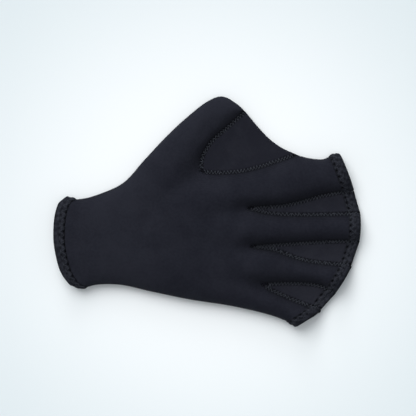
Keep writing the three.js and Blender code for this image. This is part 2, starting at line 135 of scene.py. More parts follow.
def centripetal(knots, steps=24):
    """Points of the centripetal Catmull-Rom curve through the knots."""
    ends = np.vstack([2 * knots[:1] - knots[1:2], knots, 2 * knots[-1:] - knots[-2:-1]])
    share = np.linspace(0, 1, steps, endpoint=False)[:, None]
    pieces = []
    for before, start, end, after in zip(ends, ends[1:], ends[2:], ends[3:]):
        first, middle, last = (
            math.sqrt(np.linalg.norm(b - a)) for a, b in ((before, start), (start, end), (end, after))
        )
        leave = (start - before) / first - (end - before) / (first + middle) + (end - start) / middle
        arrive = (end - start) / middle - (after - start) / (middle + last) + (after - end) / last
        leave, arrive = leave * middle, arrive * middle
        pieces.append(
            start + leave * share + (3 * (end - start) - 2 * leave - arrive) * share**2
            + (2 * (start - end) + leave + arrive) * share**3
        )
    return np.vstack([*pieces, knots[-1:]])


def nearest_on(points, starts, ends):
    """How far each point is from these short pieces of line, which one is nearest, and where on it."""
    way = ends - starts
    square = np.maximum((way**2).sum(1), 1e-12)
    found = []
    at_once = 1000
    for low in range(0, len(points), at_once):
        offset = points[low:low + at_once, None] - starts
        share = np.clip((offset * way).sum(2) / square, 0, 1)
        gap = np.linalg.norm(offset - share[..., None] * way, axis=2)
        best = gap.argmin(1)
        rows = np.arange(len(best))
        found.append((gap[rows, best], best, share[rows, best]))
    return [np.concatenate(part) for part in zip(*found)]


class Seam:
    """A smooth line in the plan, measured along its length in millimetres."""

    def __init__(self, table):
        self.line = centripetal(spot(table))
        steps = np.linalg.norm(np.diff(self.line, axis=0), axis=1)
        self.reach = np.concatenate([[0], np.cumsum(steps)])
        self.length = self.reach[-1]

    def at(self, distance):
        """The points at these distances from the seam's start."""
        distance = np.atleast_1d(distance)
        return np.stack([np.interp(distance, self.reach, self.line[:, k]) for k in (0, 1)], axis=1)

    def direction(self, distance, step=0.4):
        """The ways the seam runs at these distances."""
        distance = np.atleast_1d(distance)
        ahead = np.minimum(distance + step, self.length)
        behind = np.maximum(distance - step, 0)
        return unit(self.at(ahead) - self.at(behind))

    def places(self, step):
        """Distances along the whole seam, no more than a step apart."""
        return np.linspace(0, self.length, math.ceil(self.length / step) + 1)


class Along:
    """Several seams cut into short pieces, to find the nearest place on them."""

    def __init__(self, seams, step=0.8):
        cuts = [seam.places(step) for seam in seams]
        lines = [seam.at(places) for seam, places in zip(seams, cuts)]
        self.starts = np.vstack([line[:-1] for line in lines])
        self.ends = np.vstack([line[1:] for line in lines])
        self.lengths = np.linalg.norm(self.ends - self.starts, axis=1)
        self.reach = np.concatenate([places[:-1] for places in cuts])

    def nearest(self, points):
        """Distance to the seams, and the distance along the nearest one."""
        distance, piece, share = nearest_on(points, self.starts, self.ends)
        return distance, self.reach[piece] + share * self.lengths[piece]


little_side, little_inner = Seam(LITTLE_SIDE), Seam(LITTLE_INNER)
ring_outer, ring_inner = Seam(RING_OUTER), Seam(RING_INNER)
middle_outer, middle_inner = Seam(MIDDLE_OUTER), Seam(MIDDLE_INNER)
index_outer, index_side = Seam(INDEX_OUTER), Seam(INDEX_SIDE)
index_web, thumb_web = Seam(INDEX_WEB), Seam(THUMB_WEB)
thumb_side, web_edge = Seam(THUMB_SIDE), Seam(WEB_EDGE)

cuff_curve = centripetal(np.array(CUFF_EDGE, float))


class OpenEnd:
    """An open end of the glove between the end of one seam and the start of the next."""

    def __init__(self, before, after, hem, bow=0):
        self.before, self.after, self.hem, self.bow = before, after, hem, bow

    def corners(self, distance):
        """The line's two ends on the seams, a distance in from the edge."""
        return self.before.at(self.before.length - distance)[0], self.after.at(distance)[0]

    def line(self, distance, shares):
        """Points across the end, a distance in from its edge."""
        start, finish = self.corners(distance)
        beyond = unit(right_of(finish - start))
        bow = self.bow * np.interp(shares, cuff_curve[:, 0], cuff_curve[:, 1])
        return start + shares[:, None] * (finish - start) + bow[:, None] * beyond

    def width(self, distance):
        start, finish = self.corners(distance)
        return float(np.linalg.norm(finish - start))


little_end = OpenEnd(little_side, little_inner, FINGER_HEM)
ring_end = OpenEnd(ring_outer, ring_inner, FINGER_HEM)
middle_end = OpenEnd(middle_outer, middle_inner, FINGER_HEM)
index_end = OpenEnd(index_outer, index_side, FINGER_HEM)
cuff_end = OpenEnd(thumb_side, little_side, CUFF_HEM, CUFF_BOW)

# Unbroken runs of seam from one open end to the next
RUNS = [
    ([little_side], cuff_end, little_end),
    ([little_inner, ring_outer], little_end, ring_end),
    ([ring_inner, middle_outer], ring_end, middle_end),
    ([middle_inner, index_outer], middle_end, index_end),
    ([index_side, index_web, thumb_web, thumb_side], index_end, cuff_end),
]

# Webs: the seam that runs to the tip and the one that runs from it
FINGER_WEBS = {
    "index_middle": (middle_inner, index_outer),
    "middle_ring": (ring_inner, middle_outer),
    "ring_little": (little_inner, ring_outer),
}
ALL_WEBS = {**FINGER_WEBS, "thumb": (index_web, thumb_web)}
WEB_POINTS = [seam.at(0)[0] for _, seam in ALL_WEBS.values()]

web_seams = Along([seam for pair in ALL_WEBS.values() for seam in pair])
side_seams = Along([little_side, index_side, thumb_side])


# The smooth shape of the back and the palm

EDGE_STEP = 2.5  # length of the straight edges that a seam counts as here
SHORTEST_EDGE = 0.05
NO_DISTANCE = 1e-6
MOST_ROOM = 100
OUTSIDE = -0.5  # the sum below is less than this only outside the glove


def field_edges(seams, carried_on=True):
    """Edges of joined seams, carried straight on past the open ends where that is asked."""
    line = [seam.at(seam.places(EDGE_STEP)) for seam in seams]
    if carried_on:
        runout = SEAM_RUNOUT * LENGTH
        line.insert(0, line[0][:1] - seams[0].direction(0) * runout)
        line.append(line[-1][-1:] + seams[-1].direction(seams[-1].length) * runout)
    line = np.vstack(line)
    long_enough = np.linalg.norm(np.diff(line, axis=0), axis=1) > SHORTEST_EDGE
    return np.hstack([line[:-1][long_enough], line[1:][long_enough]])


ALL_EDGES = np.vstack([field_edges(seams) for seams, _, _ in RUNS])
WEB_EDGES = np.vstack(
    [field_edges(seams) for seams, _, _ in RUNS[1:4]] + [field_edges([index_web, thumb_web], False)]
)


def room_between(points, edges):
    """How much room each point has between these edges.

    It is the harmonic mean of the distances to them over all directions: the distance itself
    close to one seam, and half of that to the middle of a long channel.
    """
    total = np.zeros(len(points))
    for edge in edges:
        start, end = edge[:2], edge[2:]
        length = np.linalg.norm(end - start)
        along = (end - start) / length
        offset = points - start
        side = along[0] * offset[:, 1] - along[1] * offset[:, 0]
        side = np.where(np.abs(side) < NO_DISTANCE, NO_DISTANCE, side)
        before = -(offset @ along)
        after = before + length
        total += (after / np.hypot(after, side) - before / np.hypot(before, side)) / side
    return np.where(total < OUTSIDE, 0, 2 / np.maximum(total, 2 / MOST_ROOM))


WEB_TOP = SEAM_HEIGHT + WEB_WALL / 2
WEB_UNDER = SEAM_HEIGHT - WEB_WALL / 2

# Beside a web the cloth leaves the web's face at a slope and rounds over into the full shape
BACK_SLOPE = 1.5
PALM_SLOPE = 1.6
SEWN_FLAT = 0.9  # room that the cloth has before it leaves the web's face
BY_WEB = (0.25, 0.85)  # share of a point's nearness to seams that is to webs: still none, and all
FOLD_ROOM = (0.5, 8)  # room where the soft folds start, and where they are in full

# Hollows where the cloth is drawn down to the end of a web: the end as (along, across), the way
# that the hollow runs on from it, its length and half its width in millimetres, and its share of
# the back's height
HOLLOWS = [
    ((0.632, 0.513), (-1, -0.12), 8, 5.5, 0.52),
    ((0.642, 0.345), (-1, 0.05), 8, 5.5, 0.52),
    ((0.678, 0.18), (-1, 0.25), 8, 5.5, 0.58),
    ((0.479, 0.673), (-0.75, -0.45), 7, 7, 0.50),
    ((0.61, 0.488), (-1, -0.05), 25, 8, 0.24),
    ((0.625, 0.325), (-1, 0.05), 25, 9, 0.18),
    ((0.662, 0.168), (-1, 0.25), 24, 8, 0.24),
    ((0.479, 0.673), (-0.75, -0.45), 26, 11, 0.34),
    ((0.508, 0.655), (0.2, -1), 9, 12, 0.32),
]

# Soft folds and swells of the back: from and to as (along, across), height in millimetres, less
# than zero for a fold, and half its width in millimetres
SWELLS = [
    ((0.43, 0.62), (0.30, 0.47), -0.8, 6.0),
    ((0.55, 0.50), (0.45, 0.46), -0.5, 5.0),
    ((0.56, 0.36), (0.46, 0.38), -0.5, 5.0),
    ((0.60, 0.22), (0.50, 0.27), -0.4, 4.5),
    ((0.14, 0.50), (0.24, 0.42), 0.5, 7.0),
    ((0.10, 0.22), (0.13, 0.50), -0.35, 3.0),
    ((0.34, 0.62), (0.46, 0.80), 0.4, 7.0),
    ((0.30, 0.26), (0.56, 0.20), 0.35, 8.0),
    ((0.52, 0.885), (0.46, 0.785), -1.3, 5.0),
]
SWELL_LOSS = 0.35  # share of its height that a fold or swell loses from its start to its end


def hollows(points):
    """Share of the back's height that is left where the cloth is drawn down to the webs' ends."""
    left = np.ones(len(points))
    for place, way, length, half_width, share in HOLLOWS:
        way = unit(np.array(way, float))
        offset = points - spot(place)
        ahead, across = offset @ way, offset @ left_of(way)
        reach = np.where(ahead > 0, length, half_width)
        left *= 1 - share * bell(ahead, reach) * bell(across, half_width)
    return left


def swells(points):
    """The soft folds and swells of the back at these points."""
    total = np.zeros(len(points))
    for start, end, lift, half_width in SWELLS:
        start, end = spot(start), spot(end)
        way = end - start
        share = np.clip((points - start) @ way / (way @ way), 0, 1)
        apart = np.linalg.norm(points - start - share[:, None] * way, axis=1)
        total += lift * bell(apart, half_width) * (1 - SWELL_LOSS * share)
    return total


def shape(side, points):
    """Height of the smooth outside of the back (side 1) or the palm (side -1)."""
    room = room_between(points, ALL_EDGES)
    web_room = room_between(points, WEB_EDGES)
    by_web = smooth(room / np.maximum(web_room, 1e-9), *BY_WEB)
    leaving = room**2 / (room + SEWN_FLAT)
    if side > 0:
        palm = smooth(points[:, 0] + LENGTH / 2, WRIST_END * LENGTH, PALM_START * LENGTH)
        rise = WRIST_RISE + (BACK_RISE - WRIST_RISE) * palm
        rounded = rise * np.sqrt(1 - np.exp(-room / BACK_FILL))
        over_web = SEAM_HEIGHT + rise - WEB_TOP
        sewn = WEB_TOP - SEAM_HEIGHT + over_web * (1 - np.exp(-BACK_SLOPE * leaving / over_web))
        full = rounded + (sewn - rounded) * by_web
        full = np.maximum(full * hollows(points), np.minimum(full, WEB_TOP - SEAM_HEIGHT))
        return SEAM_HEIGHT + full + swells(points) * smooth(room, *FOLD_ROOM)
    drop = SEAM_HEIGHT + PALM_PRESS
    rounded = drop * np.sqrt(1 - np.exp(-room / PALM_FILL))
    sewn = SEAM_HEIGHT - WEB_UNDER + PALM_SLOPE * leaving
    level = SEAM_HEIGHT - (rounded + (np.minimum(sewn, drop) - rounded) * by_web)
    pressed = np.maximum(level + REST_BLEND, 0) ** 2 / (4 * REST_BLEND)
    return np.where(level >= REST_BLEND, level, pressed)


# The pull of the stitches on the cloth. A shade says how deep in stitches and seams the cloth
# lies, from 0 to 1, and its colour is painted darker there: painted shade.

ZIGZAG_PITCH = 2.3
ZIGZAG_REACH = 1.0  # from the seam to its needle holes
ZIGZAG_PULL = 0.95  # depth of the dimple at a needle hole
ZIGZAG_DIMPLE = 0.52  # radius of the dimple
ZIGZAG_PUFF = 0.16  # how far the edge puffs up between two needle holes
ZIGZAG_PUFF_REACH = 0.8
PUFF_LEVEL = 0.3  # how far the cloth sinks as a whole, as a share of the puff
SEAM_GROOVE = 0.9  # depth of the groove at the seam itself
EDGE_ROUND = 0.52  # radius to which a sewn edge turns down into its seam
SEAM_SHADE = 0.85
SEAM_SHADE_REACH = 1.1
HOLE_SHADE = 0.9
BESIDE_SHADE = 0.3  # painted shade on the cloth beside a web
BESIDE_REACH = 4.5
SIDE_SHADE = 0.8  # painted shade along the seam at the glove's side
SIDE_SHADE_REACH = 2.6
POINT_FREE = (0.5, 4)  # distances from a web's point where the seam's shade starts and is in full
BESIDE_FREE = (2, 10)  # the same for the shade beside a web

# Soft lumps of the back, away from its webs: their size, their number and their height
LUMPS = ((9, 1, 0.10), (3.2, 2, 0.04))
LUMPS_FREE = (2, 6)
LUMPS_APART = 7.3  # how far apart the lumps of two numbers lie in the noise


def sewn_edge(distance, reach, shift):
    """How far a zigzag pulls the cloth down beside a seam, and the painted shade there."""
    phase = (reach / ZIGZAG_PITCH + shift + 0.5) % 1 - 0.5
    hole = bell(np.hypot(distance - ZIGZAG_REACH, phase * ZIGZAG_PITCH), ZIGZAG_DIMPLE)
    puff = np.cos(2 * math.pi * phase) * bell(distance - ZIGZAG_REACH, ZIGZAG_PUFF_REACH)
    groove = np.exp(-distance / EDGE_ROUND)
    sink = ZIGZAG_PULL * hole + ZIGZAG_PUFF * (puff + PUFF_LEVEL) + SEAM_GROOVE * groove
    return sink, SEAM_SHADE * bell(distance, SEAM_SHADE_REACH) + HOLE_SHADE * hole


def unevenness(points, size, number):
    """Soft lumps of this size, from -1 to 1 or so."""
    places = np.column_stack([points / size, np.full(len(points), number * LUMPS_APART)])
    return np.array([noise.noise(Vector(place)) for place in places.tolist()])


def relief(side, points, height):
    """How far the face of the back or the palm lies below its smooth shape, and its painted shade."""
    distance, reach = web_seams.nearest(points)
    sink, shade = sewn_edge(distance, reach, 0)
    if side > 0:
        for size, number, lift in LUMPS:
            sink = sink - lift * smooth(distance, *LUMPS_FREE) * unevenness(points, size, number)
    to_point = np.min([np.linalg.norm(points - point, axis=1) for point in WEB_POINTS], axis=0)
    to_side = np.hypot(side_seams.nearest(points)[0], height - SEAM_HEIGHT)
    shade = shade * smooth(to_point, *POINT_FREE) + SIDE_SHADE * bell(to_side, SIDE_SHADE_REACH)
    beside = bell(distance, BESIDE_REACH) * smooth(to_point, *BESIDE_FREE)
    return sink, shade + BESIDE_SHADE * beside


# Making pieces

def make_object(name, points, faces, material, shade=None):
    """A smooth mesh of these points, given in millimetres, with the painted shade of each where it has
    one.
    """
    mesh = bpy.data.meshes.new(name)
    mesh.from_pydata((np.asarray(points) * MM).tolist(), [], [list(map(int, face)) for face in faces])
    mesh.polygons.foreach_set("use_smooth", [True] * len(mesh.polygons))
    if shade is not None:
        painted_shade = mesh.attributes.new("painted_shade", "FLOAT", "POINT")
        painted_shade.data.foreach_set("value", np.clip(shade, 0, 1).ravel())
    mesh.update()
    piece = bpy.data.objects.new(name, mesh)
    bpy.context.scene.collection.objects.link(piece)
    piece.data.materials.append(material)
    return piece


def stand_for(piece, node):
    """Hides the solid that a piece replaces and hangs the piece on the root."""
    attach(piece, "root")
    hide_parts(node)


def fix_facing(piece):
    """Turns a closed mesh's faces outwards."""
    mesh = piece.data
    mesh.calc_loop_triangles()
    points = np.array([vertex.co for vertex in mesh.vertices], float)
    corners = points[np.array([triangle.vertices for triangle in mesh.loop_triangles])]
    if (corners[:, 0] * np.cross(corners[:, 1], corners[:, 2])).sum() < 0:
        mesh.flip_normals()


def face_normals(points, triangles):
    """Normals of triangles, each twice as long as its triangle's area."""
    corners = points[triangles]
    return np.cross(corners[:, 1] - corners[:, 0], corners[:, 2] - corners[:, 0])


def point_normals(points, triangles):
    """Unit normals at the points of a mesh."""
    face = face_normals(points, triangles)
    normals = np.zeros_like(points)
    for corner in range(3):
        np.add.at(normals, triangles[:, corner], face)
    return unit(normals)


def surface_area(points, triangles):
    """Area of a triangle mesh, flat or in space."""
    points = np.column_stack([points, np.zeros(len(points))])[:, :3]
    return float(np.linalg.norm(face_normals(points, triangles), axis=1).sum() / 2)


def declare_cloth(piece, plan, cloth_area, plan_area, held, rests_on, with_pieces=()):
    """Works out, and keeps nowhere, what size a cloth was cut to: its plan, stretched as far as its crown
    asks.
    """
    stretch = math.sqrt(cloth_area / plan_area)
    length, width = (plan.max(0) - plan.min(0)) * stretch
    width * MM
    length * MM
    cloth_area * MM**2


# The panels

SEAM_STEP = 0.46  # fineness along a seam, a fifth of a stitch
GRID_STEP = 1.5  # fineness in the open cloth
ROWS = 10
ROWS_REACH = 5.5
ROW_PLACES = ROWS_REACH * (np.arange(1, ROWS + 1) / ROWS) ** 2  # of points beside a seam
ROW_ROOM = 0.93  # share of its distance from its seam that a point in a row keeps from all others
TIP_FAN = 10  # rows that fan out round a web's tip
TUCK = 0.2  # how far the panels reach in under the hems
SEAM_EDGE = 0.03  # half the clearance between the back's and the palm's edges at the seams
SIDE_GROOVE = 0.4  # depth of the groove where they meet along the glove's side
SIDE_FREE = (0.2, 2.5)  # distances from a web where that groove starts and is in full


def steps_across(width):
    """Distances across an open end, close together near its two seams."""
    rows = np.concatenate([[0], ROW_PLACES])
    count = max(2, round((width - 2 * ROWS_REACH) / SEAM_STEP))
    middle = np.linspace(ROWS_REACH, width - ROWS_REACH, count + 1)[1:-1]
    return np.concatenate([rows, middle, (width - rows)[::-1]])


def panel_rim():
    """The rim of a panel: its points, the ways out of the glove where it is sewn, and the ways in."""
    points, outward, fans = [], [], []
    for seams, before, after in RUNS:
        for number, seam in enumerate(seams):
            start = before.hem - TUCK if number == 0 else 0
            finish = seam.length - (after.hem - TUCK if number == len(seams) - 1 else 0)
            count = math.ceil((finish - start) / SEAM_STEP)
            distances = np.linspace(start, finish, count + 1)[(1 if number == 0 else 0):-1]
            ways = seam.direction(distances)
            points.append(seam.at(distances))
            inward = [[way] for way in left_of(ways)]
            out = right_of(ways)
            if number > 0:
                turn_from = left_of(seams[number - 1].direction(seams[number - 1].length)[0])
                turn_to = left_of(seam.direction(0)[0])
                out[0] = unit(-(turn_from + turn_to))
                angle = math.atan2(left_of(turn_from) @ turn_to, turn_from @ turn_to)
                shares = np.linspace(0, 1, TIP_FAN) if angle < 0 else []
                inward[0] = [turned(turn_from, angle * share) for share in shares]
            outward.append(out)
            fans.extend(inward)
        width = after.width(after.hem - TUCK)
        line = after.line(after.hem - TUCK, steps_across(width) / width)
        ways = np.zeros_like(line)
        ways[0] = right_of(after.before.direction(after.before.length - after.hem + TUCK))[0]
        ways[-1] = right_of(after.after.direction(after.hem - TUCK))[0]
        points.append(line)
        outward.append(ways)
        fans.extend([[]] * len(line))
    return np.vstack(points), np.vstack(outward), fans


def distance_to_loop(points, loop):
    return nearest_on(points, loop, np.roll(loop, -1, axis=0))[0]


def inside_loop(points, loop):
    """Whether each point is inside a closed line."""
    ends = np.roll(loop, -1, axis=0)
    inside = np.zeros(len(points), bool)
    for a, b in zip(loop, ends):
        crosses = (a[1] > points[:, 1]) != (b[1] > points[:, 1])
        if crosses.any():
            at = a[0] + (points[:, 1] - a[1]) * (b[0] - a[0]) / (b[1] - a[1] or 1)
            inside ^= crosses & (points[:, 0] < at)
    return inside


def panel_plan():
    """Points and triangles that fill the panels' rim, the ways out along it, and its count."""
    rim, outward, fans = panel_rim()
    ways = np.array([way for fan in fans for way in fan])
    starts = np.repeat(rim, [len(fan) for fan in fans], axis=0)
    beside = (starts[:, None] + ROW_PLACES[:, None] * ways[:, None]).reshape(-1, 2)
    room = ROW_ROOM * np.tile(ROW_PLACES, len(ways))
    beside = beside[(distance_to_loop(beside, rim) > room) & inside_loop(beside, rim)]

    low, high = rim.min(0), rim.max(0)
    columns = np.arange(low[0], high[0], GRID_STEP)
    levels = np.arange(low[1], high[1], GRID_STEP * math.sqrt(0.75))
    grid = np.array([
        (x + (row % 2) * GRID_STEP / 2, y) for row, y in enumerate(levels) for x in columns
    ])
    grid = grid[inside_loop(grid, rim)]
    grid = grid[distance_to_loop(grid, rim) > ROWS_REACH + GRID_STEP / 2]

    points = np.vstack([rim, beside, grid])
    count = len(rim)
    loop = [(i, (i + 1) % count) for i in range(count)]
    # Output type 1 is the triangles inside the loop
    found = delaunay_2d_cdt([Vector(point) for point in points.tolist()], loop, [], 1, 1e-5)
    origin = [from_points[0] for from_points in found[3]]
    triangles = np.array([[origin[corner] for corner in face] for face in found[2]])
    return points, triangles, outward, count


def panel(name, node, side, plan, rests_on):
    """The back (side 1) or the palm (side -1): an outer and an inner skin, closed along the rim."""
    points, triangles, outward, count = plan
    if side < 0:
        triangles = triangles[:, ::-1]
    smooth_height = shape(side, points)
    sink, shade = relief(side, points, smooth_height)
    outer = np.column_stack([points, np.maximum(smooth_height - side * sink, 0)])
    smooth_outer = np.column_stack([points, smooth_height])
    normals = point_normals(smooth_outer, triangles)
    sewn = np.linalg.norm(outward, axis=1) > 0.5
    normals[:count][sewn] = np.column_stack([outward[sewn], np.zeros(sewn.sum())])
    inner = smooth_outer - PANEL_WALL * normals
    level = SEAM_HEIGHT + side * SEAM_EDGE
    inner[:, 2] = np.maximum(inner[:, 2], level) if side > 0 else np.minimum(inner[:, 2], level)
    drawn_in = SIDE_GROOVE * smooth(web_seams.nearest(points[:count])[0], *SIDE_FREE) * sewn
    outer[:count, :2] -= drawn_in[:, None] * outward
    outer[:count, 2] = np.where(drawn_in > SIDE_GROOVE / 4, level, outer[:count, 2])
    edge = outer[:count].copy()
    edge[sewn, 2] = level
    total = len(points)
    faces = [*triangles, *(triangles[:, ::-1] + total)]
    for i in range(count):
        j = (i + 1) % count
        for above, below in ((0, 2 * total), (2 * total, total)):
            strip = (above + i, above + j, below + j, below + i)
            faces.append(strip[::-1] if side > 0 else strip)
    # Painted shade: none on the inner skin, and full shade on the edge strip along the rim
    shade = np.concatenate([shade, np.zeros(len(inner)), np.ones(len(edge))])
    piece = make_object(name, np.vstack([outer, inner, edge]), faces, neoprene, shade)
    stand_for(piece, node)
    areas = surface_area(smooth_outer, triangles), surface_area(points, triangles)
    declare_cloth(piece, points, *areas, "laid", rests_on)
    return piece


# The folded bands. A section goes from the band's inner border over its outside to the fold at
# the edge and back along its inside.

HEM_SWELL = 0.75  # how far a band stands proud of the cloth beside it
SWELL_STEPS = (0, 0.15, 0.4, 0.7)  # distances from its border over which it rises to that
BAND_STEP = 0.3  # fineness across a band's outside
LEAST_RISE = 0.02  # square of the share of its height that a rounded edge starts with
FOLD_STEPS = 10
FOLD_OUTSIDE = 5  # how many of them count as the band's outside
INSIDE_STEP = 1.6  # fineness across its inside, and the least that is left for its last row
INSIDE_LAST = 0.5
BAND_LOOPS = 12  # loops of the smooth cloth that a band is laid on
PROUD_AT_WEB = 0.3  # share of the swell that a band keeps where it meets a web's seam
PROUD_FREE = 2.5  # how far from there it has its full swell
NEEDLE_LINES = (1.4, 4.6)  # the two lines of stitches, distances from a finger band's inner border
CUFF_LINES = (0.7, 3.9)  # the same for the cuff's band
NEEDLE_GROOVE = 0.45  # depth of the groove along the inner line
GROOVE_REACH = 0.6
NEEDLE_HOLE = 1.5  # depth of the pucker at each needle hole of the inner line
NEEDLE_HOLE_SIZE = 0.8
LINE_STRENGTHS = (1, 0.45)  # how hard the inner and the outer line pull on the cloth
COVER_PITCH = 4.5
HEM_PUFF = 0.3  # how far the cloth puffs up between the stitches
PUFF_FREE = (0.6, 2.0)  # distances from a band's border where the puffs start and are in full
HEM_ROUGHNESS = 0.42  # height of the lumps in a band's cloth
LUMP_SIZE = 2.3
ROUGH_FREE = (0.3, 1.2)  # the same for the lumps
# Painted shade in a band's grooves and needle holes, along its inner border and round its fold
GROOVE_SHADE = 0.55
BORDER_SHADE_REACH = 0.5
FOLD_SHADE = 0.75  # painted shade round a band's fold
FOLD_SHADE_REACH = 1.4


def hem_profile(width, wall):
    """A band's section: distances in from the edge, heights over the cloth, count on the outside."""
    roll = (wall + HEM_SWELL) / 2
    flat = np.arange(SWELL_STEPS[-1] + BAND_STEP, width - roll, BAND_STEP)
    flat = np.concatenate([SWELL_STEPS, flat])
    outside = HEM_SWELL * np.sqrt(np.clip(flat / SWELL_STEPS[-1], LEAST_RISE, 1))
    angles = np.linspace(0, math.pi, FOLD_STEPS + 1)
    fold = roll - roll * np.sin(angles)
    fold_height = HEM_SWELL - roll + roll * np.cos(angles)
    back = np.arange(width - roll - INSIDE_STEP / 2, INSIDE_LAST, -INSIDE_STEP)
    distance = np.concatenate([width - flat, fold, width - back, [width]])
    level = np.concatenate([outside, fold_height, np.full(len(back) + 1, -wall)])
    return distance, level, len(flat)


def fold_shade(from_edge):
    return FOLD_SHADE * bell(from_edge, FOLD_SHADE_REACH)


def lumps(points):
    """Lumps in a band's cloth at these points in space, from -1 to 1 or so."""
    height = [noise.noise(Vector(point) / LUMP_SIZE) for point in points.reshape(-1, 3).tolist()]
    return np.reshape(height, points.shape[:-1])


def stitched(from_inner, phase, rough, lines=NEEDLE_LINES):
    """Height that the stitches give a band's face, and its painted shade."""
    raised = np.zeros(np.broadcast(from_inner, phase).shape)
    shade = np.zeros_like(raised)
    for line, strength, shift in zip(lines, LINE_STRENGTHS, (0, 0.5)):
        apart = from_inner - line
        groove = strength * bell(apart, GROOVE_REACH)
        near = ((phase + shift + 0.5) % 1 - 0.5) * COVER_PITCH
        hole = strength * bell(np.hypot(apart, near), NEEDLE_HOLE_SIZE)
        raised -= NEEDLE_GROOVE * groove + NEEDLE_HOLE * hole
        shade += GROOVE_SHADE * groove + HOLE_SHADE * hole
    puff = (0.5 - np.cos(2 * math.pi * phase)) * smooth(from_inner, *PUFF_FREE) / 2
    raised += HEM_PUFF * puff + HEM_ROUGHNESS * rough * smooth(from_inner, *ROUGH_FREE)
    return raised, shade + GROOVE_SHADE * bell(from_inner, BORDER_SHADE_REACH)


def around(end, distance):
    """The loop of the smooth cloth round an open end, a distance in from its edge."""
    width = end.width(end.hem)
    line = end.line(distance, steps_across(width) / width)
    back, palm = (np.column_stack([line, shape(side, line)]) for side in (1, -1))
    return np.vstack([back, palm[::-1]])


def smooth_loops(end, distance):
    """Loops of the smooth cloth, these distances in from an open end, and the ways out of it."""
    steps = np.stack([around(end, inside) for inside in np.linspace(0, end.hem, BAND_LOOPS)])
    row = np.clip(distance, 0, end.hem) / end.hem * (BAND_LOOPS - 1)
    low = np.minimum(row.astype(int), BAND_LOOPS - 2)
    share = (row - low)[:, None, None]
    loops = steps[low] * (1 - share) + steps[low + 1] * share
    around_way = np.roll(loops, -1, axis=1) - np.roll(loops, 1, axis=1)
    along_way = np.broadcast_to(steps[1] - steps[0], loops.shape)
    normals = unit(np.cross(along_way, around_way))
    from_middle = loops - loops.mean(axis=1, keepdims=True)
    return loops, normals * np.sign((from_middle * normals).sum(axis=(1, 2), keepdims=True))


class Band:
    """The folded band round an open end."""

    def __init__(self, end, lines=NEEDLE_LINES):
        self.lines = lines
        distance, level, flat_rows = hem_profile(end.hem, HEM_WALL)
        loops, normals = smooth_loops(end, distance)
        steps = np.linalg.norm(np.diff(loops[0], axis=0, append=loops[0][:1]), axis=1)
        self.reach = np.concatenate([[0], np.cumsum(steps)])
        self.count = round(self.reach[-1] / COVER_PITCH)
        phase = self.reach[:-1] / self.reach[-1] * self.count
        gap, _ = web_seams.nearest(loops[0][:, :2])
        proud = PROUD_AT_WEB + (1 - PROUD_AT_WEB) * smooth(gap, 0, PROUD_FREE)
        over = np.where(level[:, None] > 0, level[:, None] * proud, level[:, None])
        outside = flat_rows + FOLD_OUTSIDE
        fade = smooth(outside - np.arange(outside), 0, FOLD_OUTSIDE - 1)[:, None]
        from_inner = end.hem - distance
        raised, shade = stitched(from_inner[:outside, None], phase, lumps(loops[:outside]), lines)
        over[:outside] += raised * fade
        self.shade = fold_shade(distance)[:, None] * np.ones_like(over)
        self.shade[:outside] += shade * fade
        points = loops + normals * over[..., None]
        half = loops.shape[1] // 2
        back, palm = points[outside + 1:, :half], points[outside + 1:, half:]
        back[..., 2] = np.maximum(back[..., 2], SEAM_HEIGHT + SEAM_EDGE)
        palm[..., 2] = np.minimum(palm[..., 2], SEAM_HEIGHT - SEAM_EDGE)
        points[..., 2] = np.maximum(points[..., 2], 0)
        self.points, self.from_inner = points, from_inner[:flat_rows]

    def place(self, turn, from_inner):
        """The point on the band's outside at a count of stitches round it and a way from its border."""
        reach = (turn % self.count) / self.count * self.reach[-1]
        column = min(np.searchsorted(self.reach, reach, side="right"), self.points.shape[1]) - 1
        share = (reach - self.reach[column]) / max(self.reach[column + 1] - self.reach[column], 1e-9)
        row = min(max(np.searchsorted(self.from_inner, from_inner) - 1, 0), len(self.from_inner) - 2)
        part = (from_inner - self.from_inner[row]) / (self.from_inner[row + 1] - self.from_inner[row])
        after = (column + 1) % self.points.shape[1]
        near, far = self.points[row:row + 2, column], self.points[row:row + 2, after]
        first, second = near * (1 - share) + far * share
        return first * (1 - part) + second * part

    def build(self, name, node):
        rows, size = self.points.shape[:2]
        index = np.arange(rows * size).reshape(rows, size)
        corners = [index, np.roll(index, -1, 0), np.roll(index, (-1, -1), (0, 1)), np.roll(index, -1, 1)]
        faces = np.stack(corners, axis=-1).reshape(-1, 4)
        piece = make_object(name, self.points.reshape(-1, 3), faces, hem_cloth, self.shade)
        fix_facing(piece)
        stand_for(piece, node)
        return piece


# The webs

WEB_START = 0.015  # share of a web's length that its point is cut short by
WEB_STEP = 0.42  # fineness across a web
WEB_COLUMNS = (16, 110)  # the fewest and the most
WEB_CROWDING = 0.8  # how its columns draw together at the seams, where 1 is not at all
NARROW = (1, 4)  # widths of a web where the pull of its seams starts and is in full
SHOULDER = 0.6  # how far from its border a folded end rises to its full thickness
FREE_EDGE = 1.1  # radius of the thumb web's free edge
FREE_EDGE_RISE = 0.03  # what LEAST_RISE is elsewhere
LUMPS_LEVEL = 5  # height at which a web's folded end cuts through the lumps
DEEPEST = 0.9  # share of half a web's thickness that a dimple takes at most


def rounded_edge(from_edge, radius, least):
    """Share of its thickness that a rounded edge has, this far in from it."""
    return np.sqrt(np.clip(1 - (1 - np.clip(from_edge / radius, 0, 1)) ** 2, least, 1))


def stitches_across(width):
    """How many stitches lie across a web's folded end."""
    return max(2, round(float(width) / COVER_PITCH))


